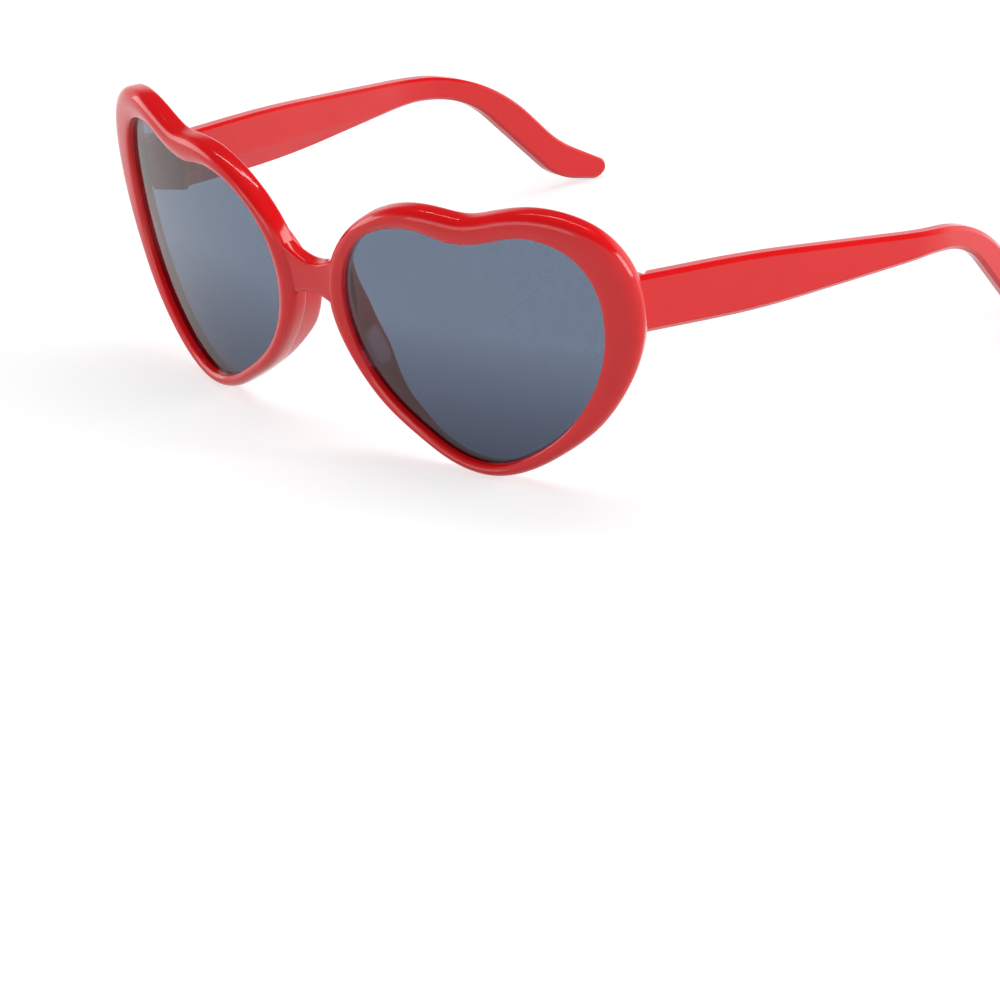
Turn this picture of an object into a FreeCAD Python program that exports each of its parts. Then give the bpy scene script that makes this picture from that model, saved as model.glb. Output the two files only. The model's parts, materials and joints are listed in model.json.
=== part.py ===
import FreeCAD, Part
import math
import os
from FreeCAD import Rotation, Vector

# Heart shaped sunglasses in millimetres, +Z up, facing -Y.
# They stand open on the two heart tips and the two temple tips.
# The +X side is modelled and mirrored; "right" and "left" are as the viewer sees them.

# Front: widths along its bend, heights from the lowest point of the hearts
heart_width = 74.3
heart_height = 62.2
nose_half_gap = 5.2
bend_radius = 154.0
rim_depth = 5.0
rim_front_bevel = 1.6
rim_back_bevel = 0.7
opening_bevel = 0.4
root_depth = 0.5
front_tilt = 14.2

# Heart outlines from the tip towards the temple and round over the top:
# share of the width from the nose side, share of the height
rim_shares = [
    (0.490, 0.000), (0.620, 0.042), (0.728, 0.118), (0.826, 0.210),
    (0.905, 0.325), (0.965, 0.455), (0.997, 0.590), (0.998, 0.715),
    (0.965, 0.835), (0.898, 0.930), (0.800, 0.985), (0.690, 1.000),
    (0.578, 0.976), (0.499, 0.957), (0.423, 0.964), (0.323, 0.967),
    (0.214, 0.931), (0.102, 0.839), (0.016, 0.682), (0.006, 0.494),
    (0.071, 0.328), (0.159, 0.199), (0.264, 0.104), (0.375, 0.026),
]
opening_shares = [
    (0.494, 0.046), (0.612, 0.094), (0.707, 0.173), (0.781, 0.267),
    (0.833, 0.366), (0.868, 0.470), (0.884, 0.575), (0.884, 0.675),
    (0.861, 0.775), (0.818, 0.848), (0.748, 0.898), (0.653, 0.911),
    (0.564, 0.883), (0.503, 0.870), (0.445, 0.870), (0.360, 0.893),
    (0.257, 0.885), (0.148, 0.817), (0.073, 0.675), (0.062, 0.508),
    (0.106, 0.354), (0.186, 0.233), (0.284, 0.140), (0.386, 0.068),
]

# Lens sheet in its groove, and the film stuck on its back
lens_setback = 1.8
lens_thickness = 1.1
lens_rebate = 1.0
lens_play = 0.1
film_thickness = 0.2
film_glue_gap = 0.02
film_margin = 0.3

# Bridge: a bar set back between the hearts, its top sagging and its underside arched
bridge_half_width = 8.1
bridge_front = 1.6
bridge_back = 5.4
bridge_bevel = 0.8
bridge_top = 41.4
bridge_top_rise = 3.4
bridge_under = 34.2
bridge_under_drop = 3.6

# Nose pads behind the nasal flanks: outline stations and reach from the front face
pad_reach = 11.0
pad_margin = 0.4
pad_round = 1.0
pad_chamfer_share = 0.3
pad_first_station = 18
pad_reach_shares = [0.58, 0.92, 0.98, 0.68, 0.54]

# Hinge, placed in the upright front: axis, knuckles and screw
hinge_half_span = 64.0
hinge_back = 30.0
hinge_height = 36.9
butt_setback = 2.4
butt_gap = 0.1
lug_inner = 2.4
lug_shoulder = 1.2
lug_root_near = 2.6
lug_root_far = 7.5
lug_root_back = 6.8
lug_chamfer = 0.5
knuckle_radius = 2.3
knuckle_height = 3.0
knuckle_gap = 0.15
knuckle_room = 0.3
tongue_radius = 2.0
tongue_height = 3.6
screw_radius = 0.8
screw_head_radius = 1.4
screw_head_height = 0.8
screw_slot_width = 0.4
screw_slot_depth = 0.35
thread_play = 0.02
running_play = 0.05

# Temple: length to the tip from the hinge axis, splay outwards, inward set of the tail
temple_length = 138.0
temple_height = 11.6
temple_thickness = 3.4
temple_offset = 0.6
temple_outer_bevel = 0.9
temple_inner_bevel = 0.6
temple_splay = 6.8
tail_start = 74.0
tail_radius = 50.0
tail_angle = 16.4
bevel_height = 3.4
bevel_depth = 0.7
bevel_length = 80.0

# Side outline from the top of the hinge end over the ear bend and back underneath:
# share of the length, share of the hinge height, rounding as share of the length
temple_shares = [
    (-0.060, 0.505, 0.00), (0.217, 0.483, 3.00), (0.736, 0.086, 0.36), (0.891, -1.578, 0.24),
    (1.000, -2.181, 0.016), (0.977, -2.483, 0.022), (0.893, -2.345, 0.13), (0.701, -0.365, 0.20),
    (0.604, -0.265, 0.32), (0.239, -0.600, 2.00), (-0.060, -0.560, 0.00),
]

# One overrun for every cut and joint, and how close counts as the same place
overrun = 2.0
match = 0.02


def heart_points(shares):
    return [Vector(nose_half_gap + a * heart_width, 0, b * heart_height) for a, b in shares]


def spacing(points):
    steps = [0]
    for here, there in zip(points, points[1:] + points[:1]):
        steps.append(steps[-1] + here.distanceToPoint(there))
    return steps


def closed_curve(points, steps):
    curve = Part.BSplineCurve()
    curve.interpolate(Points=points, PeriodicFlag=True, Parameters=steps)
    return curve


def normals(points):
    curve = closed_curve(points, spacing(points))
    tangents = [curve.tangent(step)[0] for step in spacing(points)[:-1]]
    return [Vector(t.z, 0, -t.x) for t in tangents]


def grown(points, distance):
    return [p + n * distance for p, n in zip(points, normals(points))]


# A point of the unrolled front, bent round the upright axis at the given depth
def bent(point, depth):
    angle = point.x / bend_radius
    radius = bend_radius - depth
    return Vector(radius * math.sin(angle), bend_radius - radius * math.cos(angle), point.z)


# Heart outline on an upright plane, spread so that its walls run square to the bent front
def section(points, depth):
    spread = bend_radius - depth
    flat = [Vector(spread * math.tan(p.x / bend_radius), depth, p.z) for p in points]
    return Part.Wire(closed_curve(flat, spacing(points)).toShape())


def heart_prism(points):
    return Part.makeLoft([section(points, -overrun), section(points, hinge_back)], True, True)


def bent_slab(near, far):
    tall = heart_height + 2 * overrun
    foot = Vector(0, bend_radius, -overrun)
    outer = Part.makeCylinder(bend_radius - near, tall, foot)
    return outer.cut(Part.makeCylinder(bend_radius - far, tall, foot))


def sheet(near, thickness, growth):
    outline = grown(heart_points(opening_shares), growth)
    return bent_slab(near, near + thickness).common(heart_prism(outline)).Solids[0]


# Edges that run round the heart at one depth, longest first
def edges_at(shape, depth):
    found = []
    for edge in shape.Edges:
        middle = edge.valueAt((edge.FirstParameter + edge.LastParameter) / 2)
        start = edge.valueAt(edge.FirstParameter)
        offsets = [math.hypot(p.x, bend_radius - p.y) - bend_radius + depth for p in (start, middle)]
        if max(abs(offset) for offset in offsets) < match:
            found.append(edge)
    return sorted(found, key=lambda edge: -edge.Length)


def rim():
    body = bent_slab(0, rim_depth).common(heart_prism(heart_points(rim_shares)))
    body = body.cut(heart_prism(heart_points(opening_shares)))
    groove = sheet(lens_setback - lens_play, lens_thickness + 2 * lens_play, lens_rebate + lens_play)
    body = body.cut(groove)
    body = body.makeChamfer(rim_front_bevel, edges_at(body, 0)[:1])
    body = body.makeChamfer(rim_back_bevel, edges_at(body, rim_depth)[:1])
    body = body.makeChamfer(opening_bevel, edges_at(body, 0)[-1:])
    return body.makeChamfer(opening_bevel, edges_at(body, rim_depth)[-1:]).Solids[0]


# A closed outline of straight sides with a tangent arc at each corner that has a radius
def rounded_wire(corners, radii):
    starts = []
    ends = []
    middles = []
    for index, corner in enumerate(corners):
        before = (corners[index - 1] - corner).normalize()
        after = (corners[(index + 1) % len(corners)] - corner).normalize()
        half = before.getAngle(after) / 2
        reach = radii[index] / math.tan(half)
        starts.append(corner + before * reach)
        ends.append(corner + after * reach)
        middles.append(corner + (before + after).normalize() * (radii[index] / math.sin(half) - radii[index]))
    edges = []
    for index, radius in enumerate(radii):
        if radius > 0:
            edges.append(Part.Arc(starts[index], middles[index], ends[index]).toShape())
        edges.append(Part.LineSegment(ends[index], starts[(index + 1) % len(corners)]).toShape())
    return Part.Wire(edges)


def bridge():
    side = bridge_half_width
    top = [Vector(side * k, bridge_front, bridge_top + bridge_top_rise * k * k) for k in (-1, 0, 1)]
    under = [Vector(side * k, bridge_front, bridge_under - bridge_under_drop * k * k) for k in (1, 0, -1)]
    edges = [Part.Arc(*top).toShape(), Part.LineSegment(top[-1], under[0]).toShape()]
    edges += [Part.Arc(*under).toShape(), Part.LineSegment(under[-1], top[0]).toShape()]
    bar = Part.Face(Part.Wire(edges)).extrude(Vector(0, bridge_back - bridge_front, 0))
    long_edges = [e for e in bar.Edges if e.BoundBox.XLength > side]
    return bar.makeChamfer(bridge_bevel, long_edges)


# Flange behind the nasal flank, in slices square to the front
def nose_pad():
    outer = grown(heart_points(rim_shares), -pad_margin)
    inner = grown(heart_points(opening_shares), pad_margin)
    sections = []
    for step, share in enumerate(pad_reach_shares):
        at = pad_first_station + step
        edge = bent(outer[at], 0)
        across = bent(inner[at], 0) - edge
        back = (bent(outer[at], rim_depth) - edge).normalize()
        reach = share * pad_reach
        root = rim_depth - root_depth
        corners = []
        for width, depth in ((0, root), (0, reach - pad_round), (pad_chamfer_share, reach),
                             (1 - pad_chamfer_share, reach), (1, reach - pad_round), (1, root)):
            corners.append(edge + across * width + back * depth)
        sections.append(Part.makePolygon(corners + corners[:1]))
    return Part.makeLoft(sections, True, True)


# Upright front to the frame of the temples: hinge height at zero, axes at zero depth
def to_hinge_frame(shape):
    moved = shape.copy()
    moved.translate(Vector(0, -hinge_back, -hinge_height))
    moved.rotate(Vector(), Vector(1, 0, 0), front_tilt)
    return moved


def block(low, high):
    size = high - low
    return Part.makeBox(size.x, size.y, size.z, low)


def disc(radius, low, high):
    return Part.makeCylinder(radius, high - low, Vector(hinge_half_span, 0, low))


# Plan of the lug: rooted in the back of the rim, narrowing towards the butt face
def lug_plan(level):
    inner = hinge_half_span - lug_inner
    outer = hinge_half_span + temple_offset + temple_thickness
    near = hinge_half_span + lug_root_near
    far = hinge_half_span + lug_root_far
    root = -butt_setback - lug_root_back
    plan = [(near, -hinge_back), (far, -hinge_back), (far, root), (outer, -butt_setback),
            (inner, -butt_setback), (inner, -butt_setback - lug_shoulder), (near, root)]
    corners = [Vector(x, y, level) for x, y in plan]
    return Part.Face(Part.makePolygon(corners + corners[:1]))


# Plastic behind the rim that ends at the butt face, with an upper and a lower knuckle
def lug():
    body = lug_plan(-temple_height / 2).extrude(Vector(0, 0, temple_height))
    body = body.makeChamfer(lug_chamfer, [e for e in body.Edges if e.BoundBox.ZLength < match])
    behind = Part.makeCylinder(bend_radius - rim_depth + root_depth, heart_height, Vector(0, bend_radius, 0))
    body = body.common(to_hinge_frame(behind))
    for low in (tongue_height / 2 + knuckle_gap, -tongue_height / 2 - knuckle_gap - knuckle_height):
        high = low + knuckle_height
        web = block(Vector(hinge_half_span - knuckle_radius, -butt_setback - overrun, low),
                    Vector(hinge_half_span + tongue_radius, 0, high))
        body = body.fuse([disc(knuckle_radius, low, high), web])
    return body


def screw_top():
    return tongue_height / 2 + knuckle_gap + knuckle_height


def screw(play):
    top = screw_top()
    shank = disc(screw_radius + play, -top, top)
    return shank.fuse(disc(screw_head_radius + play, top - screw_head_height, top))


def slotted_screw():
    top = screw_top()
    slot = block(Vector(hinge_half_span - overrun, -screw_slot_width / 2, top - screw_slot_depth),
                 Vector(hinge_half_span + overrun, screw_slot_width / 2, top))
    return screw(0).cut(slot)


def mirrored(shape):
    return shape.mirror(Vector(), Vector(1, 0, 0))


def front():
    half = rim().fuse(nose_pad())
    half = to_hinge_frame(half).fuse(lug())
    half = half.cut(screw(thread_play))
    return half.fuse(to_hinge_frame(bridge())).fuse(mirrored(half)).Solids[0]


# Face of the temple in plan at a distance across its thickness: straight, bent inwards, straight
def plan_side(across):
    x = hinge_half_span + temple_offset + across
    radius = tail_radius + across
    turn = math.radians(tail_angle)
    centre = Vector(x - radius, tail_start, 0)
    points = [Vector(x, -temple_height, 0)]
    for angle in (0, turn / 2, turn):
        points.append(centre + Vector(math.cos(angle), math.sin(angle), 0) * radius)
    points.append(points[-1] + Vector(-math.sin(turn), math.cos(turn), 0) * temple_length)
    return points


def plan_edges(points):
    bend = Part.Arc(*points[1:4]).toShape()
    return [Part.LineSegment(points[0], points[1]).toShape(), bend, Part.LineSegment(points[3], points[4]).toShape()]


def temple_plate():
    corners = [Vector(0, a * temple_length, b * temple_height) for a, b, c in temple_shares]
    outline = rounded_wire(corners, [c * temple_length for a, b, c in temple_shares])
    side = Part.Face(outline).extrude(Vector(2 * hinge_half_span, 0, 0))
    inner = plan_side(0)
    outer = plan_side(temple_thickness)
    ends = [Part.LineSegment(inner[index], outer[index]).toShape() for index in (0, -1)]
    loop = Part.Wire(Part.__sortEdges__(plan_edges(inner) + plan_edges(outer) + ends))
    depth = temple_length
    tall = Part.Face(loop).extrude(Vector(0, 0, depth))
    tall.translate(Vector(0, 0, -depth / 2))
    return side.common(tall).Solids[0]


# Long edges of the plate on one of its two sides
def side_edges(plate, across):
    guide = Part.Wire(plan_edges(plan_side(across)))
    found = []
    for edge in plate.Edges:
        middle = edge.valueAt((edge.FirstParameter + edge.LastParameter) / 2)
        flat = Part.Vertex(middle.x, middle.y, 0)
        if flat.distToShape(guide)[0] < match and middle.y > -temple_height / 2:
            found.append(edge)
    return found


# Shallow bevel under the inner face that runs out at the ear bend
def bevel_cut():
    x = hinge_half_span + temple_offset
    low = -temple_height
    start = Vector(x, -butt_setback, bevel_height - temple_height / 2)
    finish = Vector(x, bevel_length, -bevel_height)
    slope = Vector(bevel_depth, 0, -bevel_height)
    sections = []
    for ridge in (start, finish):
        foot = ridge + slope * (2 * temple_height / bevel_height)
        side = Vector(x - temple_height, ridge.y, foot.z)
        upper = Vector(x - temple_height, ridge.y, ridge.z)
        sections.append(Part.makePolygon([ridge, foot, side, upper, ridge]))
    return Part.makeLoft(sections, True, True)


def temple():
    arm = temple_plate()
    arm = arm.makeChamfer(temple_outer_bevel, side_edges(arm, temple_thickness))
    arm = arm.makeChamfer(temple_inner_bevel, side_edges(arm, 0))
    arm = arm.cut(bevel_cut())
    arm.rotate(Vector(hinge_half_span, 0, 0), Vector(0, 0, 1), -temple_splay)
    reach = temple_height + temple_offset
    front_cut = block(Vector(hinge_half_span - reach, -2 * reach, -reach),
                      Vector(hinge_half_span + reach, butt_gap - butt_setback, reach))
    arm = arm.cut(front_cut)
    half = tongue_height / 2
    for low, high in ((half, reach), (-reach, -half)):
        clear = block(Vector(hinge_half_span - reach, -reach, low), Vector(hinge_half_span + knuckle_radius, 0, high))
        arm = arm.cut(disc(knuckle_radius + knuckle_room, low, high).fuse(clear))
    web = block(Vector(hinge_half_span, -tongue_radius, -half),
                Vector(hinge_half_span + temple_offset + temple_thickness / 2, tongue_radius, half))
    arm = arm.fuse([disc(tongue_radius, -half, half), web])
    return arm.cut(disc(screw_radius + running_play, -reach, reach)).removeSplitter().Solids[0]


# Tilt that brings the heart tips and the temple tips to one level
def rest_tilt(front_shape, temple_shape):
    tilt = 0
    for attempt in range(5):
        lows = []
        for shape in (front_shape, temple_shape):
            leant = shape.copy()
            leant.rotate(Vector(), Vector(1, 0, 0), tilt)
            box = leant.optimalBoundingBox(True, False)
            lows.append(box.ZMin)
        tilt += math.degrees(math.atan2(lows[0] - lows[1], temple_length))
    return tilt


def main():
    os.makedirs("parts", exist_ok=True)
    lens = to_hinge_frame(sheet(lens_setback, lens_thickness, lens_rebate))
    film = to_hinge_frame(sheet(lens_setback + lens_thickness + film_glue_gap, film_thickness, -film_margin))
    nodes = {"front_frame": front()}
    for name, shape in (("lens", lens), ("film", film), ("temple", temple()), ("hinge_screw", slotted_screw())):
        nodes["right_" + name] = shape
        nodes["left_" + name] = mirrored(shape)
    tilt = rest_tilt(nodes["front_frame"], nodes["right_temple"])
    for shape in nodes.values():
        shape.rotate(Vector(), Vector(1, 0, 0), tilt)
    box = Part.makeCompound(list(nodes.values())).optimalBoundingBox(True, False)
    shift = Vector(0, -box.Center.y, -box.ZMin)
    for name, shape in nodes.items():
        shape.translate(shift)
        shape.exportStep("parts/" + name + ".step")
    axis = Rotation(Vector(1, 0, 0), tilt).multVec(Vector(0, 0, 1))
    print("rest tilt", tilt, "hinge at", hinge_half_span, shift.y, shift.z, "axis", axis)
    print("box", box.XLength, box.YLength, box.ZLength)


main()
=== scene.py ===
import bpy
import json
import math
import numpy as np
from mathutils import Matrix, Vector


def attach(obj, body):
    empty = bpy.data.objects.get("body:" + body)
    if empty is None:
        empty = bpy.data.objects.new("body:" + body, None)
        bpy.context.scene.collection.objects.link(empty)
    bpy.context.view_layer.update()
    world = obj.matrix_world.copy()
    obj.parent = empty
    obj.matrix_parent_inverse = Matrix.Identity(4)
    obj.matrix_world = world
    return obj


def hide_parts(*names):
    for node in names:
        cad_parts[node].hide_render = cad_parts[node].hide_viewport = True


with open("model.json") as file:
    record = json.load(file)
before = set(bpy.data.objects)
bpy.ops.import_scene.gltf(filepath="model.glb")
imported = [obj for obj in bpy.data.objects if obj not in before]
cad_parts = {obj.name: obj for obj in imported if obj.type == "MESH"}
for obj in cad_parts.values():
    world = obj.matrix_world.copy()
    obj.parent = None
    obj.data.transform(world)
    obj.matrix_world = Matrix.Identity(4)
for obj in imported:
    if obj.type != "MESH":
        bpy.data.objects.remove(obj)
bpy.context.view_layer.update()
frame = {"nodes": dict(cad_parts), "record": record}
nodes = frame["nodes"]
scene = bpy.context.scene
scene.view_settings.view_transform = "Standard"

# Sizes of the front are in mm
MM = 0.001

# Heart outlines, from the tip towards the temple and round over the top (share of width, share of height)
HEART_WIDTH = 74.3
HEART_HEIGHT = 62.2
NOSE_HALF_GAP = 5.2
BEND = 154.0
STATION_STEP = 0.1
RIM = [
    (0.490, 0.000), (0.620, 0.042), (0.728, 0.118), (0.826, 0.210), (0.905, 0.325), (0.965, 0.455),
    (0.997, 0.590), (0.998, 0.715), (0.965, 0.835), (0.898, 0.930), (0.800, 0.985), (0.690, 1.000),
    (0.578, 0.976), (0.499, 0.957), (0.423, 0.964), (0.323, 0.967), (0.214, 0.931), (0.102, 0.839),
    (0.016, 0.682), (0.006, 0.494), (0.071, 0.328), (0.159, 0.199), (0.264, 0.104), (0.375, 0.026),
]
OPENING = [
    (0.494, 0.046), (0.612, 0.094), (0.707, 0.173), (0.781, 0.267), (0.833, 0.366), (0.868, 0.470),
    (0.884, 0.575), (0.884, 0.675), (0.861, 0.775), (0.818, 0.848), (0.748, 0.898), (0.653, 0.911),
    (0.564, 0.883), (0.503, 0.870), (0.445, 0.870), (0.360, 0.893), (0.257, 0.885), (0.148, 0.817),
    (0.073, 0.675), (0.062, 0.508), (0.106, 0.354), (0.186, 0.233), (0.284, 0.140), (0.386, 0.068),
]

# Section of the rim: edges as (distance from the opening, the outer wall or the bevel, depth)
RIM_DEPTH = 5.0
FACE_DISH = 0.48
FACE_SHARES = (0.25, 0.50, 0.75)
FACE_CURVE = 1.5
OPENING_EDGE = [(0.00, 1.30), (0.03, 0.86), (0.14, 0.62), (0.36, FACE_DISH)]
SHOULDER_SHARE = 0.56
SHOULDER_MOST = 3.4
SHOULDER_DEPTH = 2.5
OUTER_EDGE = [(0.00, 3.1), (0.00, 4.2), (0.10, 4.62), (0.34, 4.9), (0.80, RIM_DEPTH)]
BEVEL_SHARE = 0.22
BEVEL_EDGE = [(0.3, RIM_DEPTH), (0.0, 4.85)]
OPENING_WALL = [(0.0, 3.4), (0.0, 2.2)]

# Nose pads: reach behind the front face at stations of the rim, and the crown across each station
PAD_STATIONS = [17.5, 18, 19, 20, 21, 22, 22.6]
PAD_REACH = [4.6, 6.2, 10.1, 10.8, 7.5, 5.7, 4.6]
PAD_ROWS = 60
PAD_SMOOTHING = 6
PAD_ACROSS = np.array([0.09, 0.09, 0.10, 0.13, 0.18, 0.26, 0.36, 0.46, 0.56, 0.64, 0.69, 0.72, 0.74, 0.76])
PAD_CROWN = np.array([9.0, 1.6, 0.9, 0.45, 0.16, 0.03, 0.0, 0.0, 0.03, 0.16, 0.45, 0.9, 1.6, 9.0])
PAD_CROWN_START = 4.0
PAD_CROWN_RUN = 3
PAD_ROOT = 4.2

# Bridge: heights at the middle, how far they spread at the rims, depths and how square its section is
BRIDGE_HALF = 9.0
BRIDGE_SPAN = 8.1
BRIDGE_TOP = 41.4
BRIDGE_UNDER = 34.2
BRIDGE_SAG = 3.4
BRIDGE_ARCH = 3.6
BRIDGE_FLARE = 0.5
BRIDGE_NEAR = 1.6
BRIDGE_SWELL = 0.7
BRIDGE_FAR = 5.4
BRIDGE_SQUARE_DEPTH = 0.42
BRIDGE_SQUARE_HEIGHT = 0.30
BRIDGE_ROWS = 41
BRIDGE_RING = 40

# Hinge line: half span, depth and height on the upright front
HINGE_SPAN = 64.0
HINGE_BACK = 30.0
HINGE_HEIGHT = 36.9
FRONT_TILT = math.radians(14.2)

# Lugs: places from the hinge line, with the flanks given at the root and at the butt face
LUG_HALF = 5.8
LUG_EDGE = 0.6
LUG_ROOT = -9.2
LUG_BUTT = -2.4
LUG_INNER = np.array([2.6, -2.4])
LUG_INNER_END = LUG_BUTT - 1.2
LUG_OUTER = np.array([7.5, 4.0])
LUG_SINK = 0.3
LUG_SOFT = 0.3
LUG_ROWS = 13
LUG_MIDDLE = 0.8
LUG_CLOSING = ((0.04, LUG_BUTT - 0.1), (0.10, LUG_BUTT), (0.5, LUG_BUTT))

# Knuckles: eye and web round the hinge line, levels above and below its middle, holes for the screw
EYE_RADIUS = 2.3
WEB_ROOT = -4.0
WEB_END = -2.0
WEB_SIDE = 2.0
WEB_INNER = 0.7
EYE_SOFT = 0.25
EYE_SOFT_SHARE = 0.93
EYE_LOW = 1.95
EYE_HIGH = 4.95
HEAD_HOLE = 1.43
SHANK_HOLE = 0.82

# The hinge line of the record gives the place and the lean of the standing glasses
fold = [j for j in frame["record"]["behaviour"]["joints"] if j["name"] == "right_arm_fold"][0]
HINGE_AT = Vector(fold["pos_m"])
LEAN = -math.atan2(fold["axis"][1], fold["axis"][2])


def turn_x(points, angle):
    c, s = math.cos(angle), math.sin(angle)
    out = np.array(points, float)
    y, z = out[..., 1].copy(), out[..., 2].copy()
    out[..., 1] = y * c - z * s
    out[..., 2] = y * s + z * c
    return out


# Hinge frame (axes upright, hinge height at zero) in mm to the standing frame in metres
def from_hinge(points):
    return turn_x(points, LEAN) * MM + np.array([0, HINGE_AT.y, HINGE_AT.z])


# Upright front in mm to the standing frame in metres
def from_front(points):
    moved = np.array(points, float) - np.array([0, HINGE_BACK, HINGE_HEIGHT])
    return from_hinge(turn_x(moved, FRONT_TILT))


# Flat front wrapped round the bend, at a depth behind its front face
def bent(flat, depth):
    angle = flat[..., 0] / BEND
    radius = BEND - depth
    return np.stack([radius * np.sin(angle), BEND - radius * np.cos(angle), flat[..., 1]], -1)


# Smooth closed curve through the points, read at station numbers
def closed_spline(shares):
    pts = np.array([(NOSE_HALF_GAP + a * HEART_WIDTH, b * HEART_HEIGHT) for a, b in shares])
    n = len(pts)
    step = np.linalg.norm(np.roll(pts, -1, 0) - pts, axis=1)
    slope = (np.roll(pts, -1, 0) - pts) / step[:, None]
    system = np.zeros((n, n))
    for i in range(n):
        system[i, i - 1] += step[i - 1]
        system[i, i] += 2 * (step[i - 1] + step[i])
        system[i, (i + 1) % n] += step[i]
    bow = np.linalg.solve(system, 6 * (slope - np.roll(slope, 1, 0)))

    def at(stations):
        stations = np.asarray(stations, float)
        low = np.floor(stations).astype(int) % n
        high = (low + 1) % n
        f = (stations - np.floor(stations))[:, None]
        g = 1 - f
        k = (step[low] ** 2 / 6)[:, None]
        return g * pts[low] + f * pts[high] + k * ((g ** 3 - g) * bow[low] + (f ** 3 - f) * bow[high])

    return at


rim_at = closed_spline(RIM)
opening_at = closed_spline(OPENING)


class Builder:
    """Collects grids of points as quads."""

    def __init__(self):
        self.points = []
        self.faces = []

    def grid(self, rows, close_rows=False, close_columns=False, flip=False):
        n, m = rows.shape[:2]
        base = len(self.points)
        self.points.extend(map(tuple, rows.reshape(-1, 3)))
        for i in range(n if close_rows else n - 1):
            for j in range(m if close_columns else m - 1):
                a = base + i * m + j
                b = base + i * m + (j + 1) % m
                c = base + ((i + 1) % n) * m + (j + 1) % m
                d = base + ((i + 1) % n) * m + j
                self.faces.append((d, c, b, a) if flip else (a, b, c, d))

    # Closes the grid added last with one face over its last row
    def cap_last(self, count):
        end = len(self.points)
        self.faces.append(tuple(reversed(range(end - count, end))))

    def mirror(self):
        n = len(self.points)
        self.points += [(-x, y, z) for x, y, z in self.points]
        self.faces += [tuple(n + v for v in reversed(f)) for f in self.faces]

    def object(self, name):
        mesh = bpy.data.meshes.new(name)
        mesh.from_pydata(self.points, [], self.faces)
        mesh.validate()
        mesh.update()
        obj = bpy.data.objects.new(name, mesh)
        scene.collection.objects.link(obj)
        return obj


# Section of the rim, once round: distance from the opening, depth from the front face
def rim_section(width):
    shoulder = min(SHOULDER_SHARE * width, SHOULDER_MOST)
    face_start = OPENING_EDGE[-1][0]
    face_end = width - shoulder
    section = list(OPENING_EDGE)
    for share in FACE_SHARES:
        out = face_start + (face_end - face_start) * share
        section.append((out, FACE_DISH * (1 - share) ** FACE_CURVE))
    for degrees in range(0, 91, 10):
        a = math.radians(degrees)
        section.append((face_end + shoulder * math.sin(a), SHOULDER_DEPTH * (1 - math.cos(a))))
    section += [(width - inset, depth) for inset, depth in OUTER_EDGE]
    section.append((0.5 * width, RIM_DEPTH))
    section += [(BEVEL_SHARE * width + inset, depth) for inset, depth in BEVEL_EDGE]
    return section + OPENING_WALL


def add_rim(shell):
    stations = np.arange(0, len(RIM), STATION_STEP)
    rows = []
    for o, i in zip(rim_at(stations), opening_at(stations)):
        width = float(np.linalg.norm(o - i))
        section = np.array(rim_section(width))
        flat = i + (o - i) * (section[:, :1] / width)
        rows.append(bent(flat, section[:, 1]))
    shell.grid(from_front(rows), close_rows=True, close_columns=True)


# Pads behind the nasal flanks: reach over the stations, crowned across
def add_pad(shell):
    stations = np.linspace(PAD_STATIONS[0], PAD_STATIONS[-1], PAD_ROWS)
    reach = np.interp(stations, PAD_STATIONS, PAD_REACH)
    for turn in range(PAD_SMOOTHING):
        reach[1:-1] = (reach[:-2] + 2 * reach[1:-1] + reach[2:]) / 4
    rows = []
    for o, i, r in zip(rim_at(stations), opening_at(stations), reach):
        flat = o + (i - o) * PAD_ACROSS[:, None]
        crown = PAD_CROWN * min(1.0, (r - PAD_CROWN_START) / PAD_CROWN_RUN)
        rows.append(bent(flat, np.maximum(r - crown, PAD_ROOT)))
    shell.grid(from_front(rows), flip=True)


# A number from -1 to 1 drawn towards its ends, which squares a round section
def squared(value, power):
    return math.copysign(abs(value) ** power, value)


# Bar between the hearts, flared where it runs into the rims
def add_bridge(shell):
    rows = []
    for k in np.linspace(-1, 1, BRIDGE_ROWS):
        x = BRIDGE_HALF * k
        spread = (x / BRIDGE_SPAN) ** 2
        flare = BRIDGE_FLARE * abs(k) ** 8
        top = BRIDGE_TOP + BRIDGE_SAG * spread + flare
        under = BRIDGE_UNDER - BRIDGE_ARCH * spread - flare
        near = BRIDGE_NEAR - BRIDGE_SWELL * abs(k) ** 4
        ring = []
        for a in np.linspace(0, 2 * math.pi, BRIDGE_RING, endpoint=False):
            out = squared(math.cos(a), BRIDGE_SQUARE_DEPTH)
            up = squared(math.sin(a), BRIDGE_SQUARE_HEIGHT)
            y = (near + BRIDGE_FAR) / 2 + (BRIDGE_FAR - near) / 2 * out
            z = (top + under) / 2 + (top - under) / 2 * up
            ring.append((x, y, z))
        rows.append(ring)
    shell.grid(from_front(rows), close_columns=True)


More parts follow.
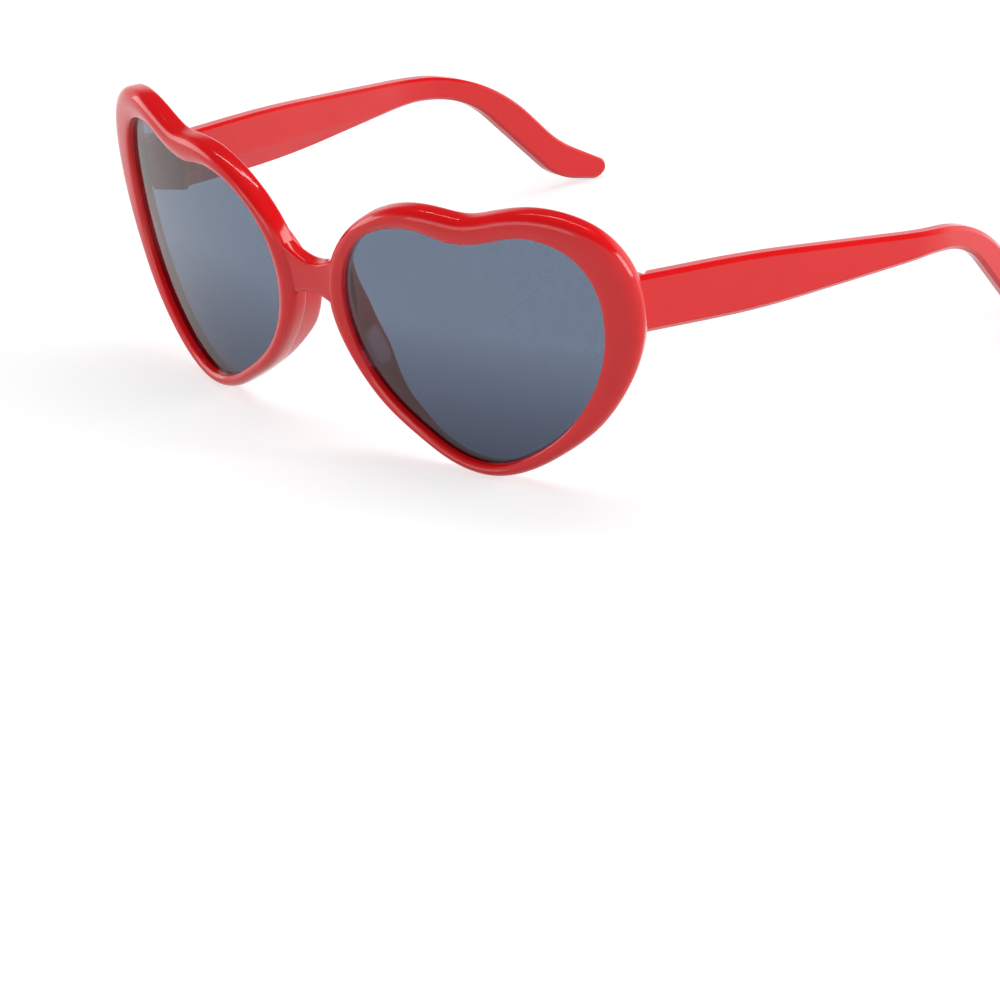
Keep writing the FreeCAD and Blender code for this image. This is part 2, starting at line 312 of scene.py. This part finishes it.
# Block behind the temporal rim that carries the knuckles: rooted in the rim, narrowing to the butt face
def add_lug(shell):
    ring = []
    for side, level, start in ((1, 1, 0), (-1, 1, 90), (-1, -1, 180), (1, -1, 270)):
        for a in range(0, 91, 15):
            t = math.radians(start + a)
            inset = LUG_EDGE - LUG_EDGE * abs(math.cos(t))
            ring.append((side, inset, level * (LUG_HALF - LUG_EDGE) + LUG_EDGE * math.sin(t)))
    side, inset, z = np.array(ring).T
    c, s = math.cos(FRONT_TILT), math.sin(FRONT_TILT)

    def flank(y):
        inner = np.interp(y, [LUG_ROOT, LUG_INNER_END], HINGE_SPAN + LUG_INNER)
        outer = np.interp(y, [LUG_ROOT, LUG_BUTT], HINGE_SPAN + LUG_OUTER)
        return np.where(side > 0, outer - inset, inner + inset)

    first = flank(np.full(len(ring), LUG_ROOT))
    rim_back = BEND - np.sqrt((BEND - RIM_DEPTH + LUG_SINK) ** 2 - first ** 2)
    start = (rim_back - HINGE_BACK - z * s) / c
    rows = []
    for k in np.linspace(0, 1, LUG_ROWS):
        y = start + (LUG_BUTT - LUG_SOFT - start) * k
        rows.append(np.stack([flank(y), y, z], 1))
    for shrink, y in LUG_CLOSING:
        end = np.stack([flank(np.full(len(ring), LUG_BUTT)), np.full(len(ring), y), z], 1)
        towards = end - np.array([HINGE_SPAN + LUG_MIDDLE, 0, 0])
        towards[:, 1] = 0
        rows.append(end - towards * shrink)
    shell.grid(from_hinge(rows), close_columns=True, flip=True)
    shell.cap_last(len(ring))


# One eye of the hinge on its web, with the hole for the screw
def add_knuckle(shell, low, high, hole):
    outline = [(-EYE_RADIUS, WEB_ROOT), (-EYE_RADIUS, WEB_END)]
    for degrees in range(180, -1, -12):
        a = math.radians(degrees)
        outline.append((EYE_RADIUS * math.cos(a), EYE_RADIUS * math.sin(a)))
    outline += [(WEB_SIDE, WEB_END), (WEB_SIDE, WEB_ROOT), (WEB_INNER, WEB_ROOT), (-WEB_INNER, WEB_ROOT)]
    outline = np.array(outline)
    angles = np.arctan2(outline[:, 1], outline[:, 0])
    bore = np.stack([hole * np.cos(angles), hole * np.sin(angles)], 1)
    soft = outline * EYE_SOFT_SHARE
    rows = []
    for flat, z in ((outline, low + EYE_SOFT), (soft, low), (bore, low),
                    (bore, high), (soft, high), (outline, high - EYE_SOFT)):
        rows.append(np.stack([HINGE_SPAN + flat[:, 0], flat[:, 1], np.full(len(flat), z)], 1))
    shell.grid(from_hinge(rows), close_rows=True, close_columns=True)


shell = Builder()
add_rim(shell)
add_pad(shell)
add_lug(shell)
add_knuckle(shell, EYE_LOW, EYE_HIGH, HEAD_HOLE)
add_knuckle(shell, -EYE_HIGH, -EYE_LOW, SHANK_HOLE)
shell.mirror()
add_bridge(shell)
front = shell.object("front_shell")
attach(front, "front")
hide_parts("front_frame")


# Materials

RED_DEEP = (0.80, 0.006, 0.008)
RED_BRIGHT = (0.86, 0.008, 0.011)
SMOKE_DEEP = (0.160, 0.196, 0.276)
SMOKE_PALE = (0.348, 0.406, 0.490)
SMOKE_HEIGHTS = {"From Min": 0.004, "From Max": 0.034}
SMOKE_CLOUD = 0.08
FILM_CLEAR = (0.97, 0.97, 0.97)
FILM_DOT = (0.91, 0.915, 0.93)
DOT_PITCH = 0.0016
DOT_EDGE = {"From Min": 0.15, "From Max": 0.6}
STEEL_DARK = (0.30, 0.29, 0.29)
STEEL_PALE = (0.52, 0.51, 0.50)
FRONT_SHARP_ANGLE = 50
TEMPLE_NORMAL_WEIGHT = 80


def new_material(name):
    mat = bpy.data.materials.new(name)
    mat.use_nodes = True
    mat.node_tree.nodes.clear()
    return mat, mat.node_tree


# Node with its sockets and settings given by name
def add(tree, kind, **values):
    node = tree.nodes.new(kind)
    for key, value in values.items():
        if key in node.inputs:
            node.inputs[key].default_value = value
        else:
            setattr(node, key, value)
    return node


# Math node fed by sockets and plain numbers
def calc(tree, operation, *terms):
    node = add(tree, "ShaderNodeMath", operation=operation)
    for socket, term in zip(node.inputs, terms):
        if isinstance(term, float):
            socket.default_value = term
        else:
            tree.links.new(term, socket)
    return node.outputs["Value"]


def noise(tree, where, **values):
    node = add(tree, "ShaderNodeTexNoise", **values)
    tree.links.new(where, node.inputs["Vector"])
    return node.outputs["Fac"]


def remap(tree, value, **values):
    node = add(tree, "ShaderNodeMapRange", **values)
    tree.links.new(value, node.inputs["Value"])
    return node.outputs["Result"]


# Colour between two stops, each a position and a colour
def ramp(tree, value, *stops):
    node = add(tree, "ShaderNodeValToRGB")
    for element, (position, colour) in zip(node.color_ramp.elements, stops):
        element.position = position
        element.color = (*colour, 1)
    tree.links.new(value, node.inputs["Fac"])
    return node.outputs["Color"]


# Place on the piece in metres
def place_on(tree):
    return add(tree, "ShaderNodeTexCoord").outputs["Object"]


# A place or direction along one axis
def along(tree, axis, vector):
    split = add(tree, "ShaderNodeSeparateXYZ")
    tree.links.new(vector, split.inputs["Vector"])
    return split.outputs[axis]


def clear_sheet(tree, tint):
    through = add(tree, "ShaderNodeBsdfTransparent")
    tree.links.new(tint, through.inputs["Color"])
    return through.outputs["BSDF"]


def mixed(tree, share, low, high):
    node = add(tree, "ShaderNodeMixShader")
    tree.links.new(share, node.inputs["Fac"])
    tree.links.new(low, node.inputs[1])
    tree.links.new(high, node.inputs[2])
    return node.outputs["Shader"]


def show(tree, shader):
    out = add(tree, "ShaderNodeOutputMaterial")
    tree.links.new(shader, out.inputs["Surface"])


# Glossy moulded plastic: faint colour drift, soft flow in the gloss and a trace of surface ripple
def red_plastic():
    mat, tree = new_material("moulded_red")
    where = place_on(tree)
    skin = add(tree, "ShaderNodeBsdfPrincipled", IOR=1.47)
    skin.inputs["Subsurface Weight"].default_value = 0.10
    skin.inputs["Subsurface Radius"].default_value = (0.004, 0.0004, 0.0004)
    skin.inputs["Subsurface Scale"].default_value = 1.0
    drift = noise(tree, where, Scale=42.0, Detail=3.0)
    colour = ramp(tree, drift, (0.3, RED_DEEP), (0.7, RED_BRIGHT))
    tree.links.new(colour, skin.inputs["Base Color"])
    flow = noise(tree, where, Scale=130.0, Detail=5.0, Roughness=0.6)
    gloss = remap(tree, flow, **{"To Min": 0.07, "To Max": 0.13})
    tree.links.new(gloss, skin.inputs["Roughness"])
    bump = add(tree, "ShaderNodeBump", Strength=0.025, Distance=0.0004)
    tree.links.new(flow, bump.inputs["Height"])
    tree.links.new(bump.outputs["Normal"], skin.inputs["Normal"])
    show(tree, skin.outputs["BSDF"])
    return mat


# Tinted sheet: light goes straight through, tinted at both faces and darker towards the tip of the heart,
# partly a gradient tint and partly painted shade and reflection, and the outer side mirrors the studio
def smoke_lens():
    mat, tree = new_material("smoke_tint")
    where = place_on(tree)
    # Painted shade and reflection: the see-through tint darkens from the top towards the tip of the heart,
    # partly a gradient tint
    tint_and_painted_shade_rise = remap(tree, along(tree, "Z", where), **SMOKE_HEIGHTS)
    cloud = noise(tree, where, Scale=30.0, Detail=2.0)
    drift = calc(tree, "MULTIPLY_ADD", cloud, SMOKE_CLOUD, tint_and_painted_shade_rise)
    through = clear_sheet(tree, ramp(tree, drift, (0.0, SMOKE_DEEP), (1.0, SMOKE_PALE)))
    mirror = add(tree, "ShaderNodeBsdfGlossy", Roughness=0.02)
    fresnel = add(tree, "ShaderNodeFresnel", IOR=1.62)
    faces = add(tree, "ShaderNodeNewGeometry")
    outside = calc(tree, "SUBTRACT", 1.0, faces.outputs["Backfacing"])
    share = calc(tree, "MULTIPLY", fresnel.outputs["Fac"], outside)
    show(tree, mixed(tree, share, through, mirror.outputs["BSDF"]))
    return mat


# Clear film with a staggered grid of faint dots
def dotted_film():
    mat, tree = new_material("dot_film")
    where = place_on(tree)
    waves = []
    for axis in ("X", "Z"):
        turns = calc(tree, "MULTIPLY", along(tree, axis, where), 2 * math.pi / DOT_PITCH)
        waves.append(calc(tree, "COSINE", turns))
    product = calc(tree, "MULTIPLY", *waves)
    dots = remap(tree, product, interpolation_type="SMOOTHSTEP", **DOT_EDGE)
    show(tree, clear_sheet(tree, ramp(tree, dots, (0.0, FILM_CLEAR), (1.0, FILM_DOT))))
    return mat


# Plain steel with a fine grain
def screw_steel():
    mat, tree = new_material("turned_steel")
    where = place_on(tree)
    skin = add(tree, "ShaderNodeBsdfPrincipled", Metallic=1.0)
    grain = noise(tree, where, Scale=900.0, Detail=4.0)
    colour = ramp(tree, grain, (0.0, STEEL_DARK), (1.0, STEEL_PALE))
    tree.links.new(colour, skin.inputs["Base Color"])
    rough = remap(tree, grain, **{"To Min": 0.22, "To Max": 0.42})
    tree.links.new(rough, skin.inputs["Roughness"])
    show(tree, skin.outputs["BSDF"])
    return mat


def dress(obj, material):
    obj.data.materials.clear()
    obj.data.materials.append(material)


def soften(obj, angle):
    obj.data.polygons.foreach_set("use_smooth", [True] * len(obj.data.polygons))
    obj.data.set_sharp_from_angle(angle=math.radians(angle))


red = red_plastic()
smoke = smoke_lens()
film = dotted_film()
steel = screw_steel()
dress(front, red)
soften(front, FRONT_SHARP_ANGLE)
for side in ("left", "right"):
    dress(nodes[side + "_temple"], red)
    dress(nodes[side + "_lens"], smoke)
    dress(nodes[side + "_film"], film)
    dress(nodes[side + "_hinge_screw"], steel)
    round_off = nodes[side + "_temple"].modifiers.new("soft_edges", "WEIGHTED_NORMAL")
    round_off.weight = TEMPLE_NORMAL_WEIGHT


# Floor, light and camera, in metres and watts

FLOOR_SIZE = 8.0
FLOOR_DROP = 0.0002
FLOOR_COLOUR = (0.50, 0.50, 0.50, 1)
FLOOR_GLOW = 0.65
WALL_COLOUR = (0.95, 0.95, 0.96)
WALL_LEVEL = 0.26
CEILING_COLOUR = (0.10, 0.10, 0.11)
CEILING_LEVEL = 0.52
FOOT = (0, 0, 0)
MIDDLE = (0, 0, 0.03)
CAMERA_LENS = 216.0
CAMERA_SENSOR = 36.0
CAMERA_CLIP = 20.0
CAMERA_EYE = (0.82298, -0.89700, 0.47287)
CAMERA_RIGHT = Vector((0.73135, 0.68189, -0.01246))
CAMERA_AHEAD = Vector((-0.63234, 0.67114, -0.38694))


# Matte floor that also glows to the camera, in mirrors and through clear sheets, and still takes the shadow
def white_floor():
    mat, tree = new_material("studio_floor")
    matte = add(tree, "ShaderNodeBsdfDiffuse", Color=FLOOR_COLOUR)
    glow = add(tree, "ShaderNodeEmission", Color=(1, 1, 1, 1), Strength=FLOOR_GLOW)
    dark = add(tree, "ShaderNodeEmission", Color=(0, 0, 0, 1), Strength=0.0)
    path = add(tree, "ShaderNodeLightPath")
    seen = path.outputs["Is Camera Ray"]
    for ray in ("Is Glossy Ray", "Is Transmission Ray"):
        seen = calc(tree, "MAXIMUM", seen, path.outputs[ray])
    both = add(tree, "ShaderNodeAddShader")
    tree.links.new(matte.outputs["BSDF"], both.inputs[0])
    tree.links.new(mixed(tree, seen, dark.outputs["Emission"], glow.outputs["Emission"]), both.inputs[1])
    show(tree, both.outputs["Shader"])
    return mat


bpy.ops.mesh.primitive_plane_add(size=FLOOR_SIZE, location=(0, 0, -FLOOR_DROP))
floor = bpy.context.object
floor.name = "studio_floor_sheet"
dress(floor, white_floor())

# Bright studio walls under a dim ceiling
world = bpy.data.worlds.new("studio")
scene.world = world
world.use_nodes = True
sky = world.node_tree.nodes["Background"]
sky.inputs["Strength"].default_value = 1.0
heading = add(world.node_tree, "ShaderNodeTexCoord")
level = along(world.node_tree, "Z", heading.outputs["Generated"])
walls = ramp(world.node_tree, level, (WALL_LEVEL, WALL_COLOUR), (CEILING_LEVEL, CEILING_COLOUR))
world.node_tree.links.new(walls, sky.inputs["Color"])


def softbox(name, place, target, width, height, power):
    light = bpy.data.lights.new(name, "AREA")
    light.shape = "RECTANGLE"
    light.size = width
    light.size_y = height
    light.energy = power
    obj = bpy.data.objects.new(name, light)
    scene.collection.objects.link(obj)
    obj.location = place
    obj.rotation_euler = (Vector(target) - Vector(place)).to_track_quat("-Z", "Y").to_euler()
    return obj


ceiling = softbox("ceiling", place=(0.05, 0.15, 1.40), target=FOOT, width=1.2, height=1.2, power=5.6)
ceiling.visible_glossy = False
softbox("strip_over", place=(-0.10, 0.15, 1.05), target=FOOT, width=1.1, height=0.05, power=2.7)
softbox("left_wall", place=(-1.30, -0.55, 0.30), target=MIDDLE, width=1.0, height=0.5, power=4.0)
softbox("right_wall", place=(1.20, 0.75, 0.45), target=MIDDLE, width=1.0, height=0.6, power=11.0)
softbox("front_wall", place=(0.05, -1.60, 0.30), target=MIDDLE, width=1.4, height=0.5, power=3.6)

camera = bpy.data.objects.new("camera", bpy.data.cameras.new("camera"))
scene.collection.objects.link(camera)
camera.data.lens = CAMERA_LENS
camera.data.sensor_width = CAMERA_SENSOR
camera.data.clip_end = CAMERA_CLIP
turned = Matrix((CAMERA_RIGHT, CAMERA_RIGHT.cross(CAMERA_AHEAD), -CAMERA_AHEAD)).transposed()
camera.matrix_world = Matrix.Translation(CAMERA_EYE) @ turned.to_4x4()
scene.camera = camera
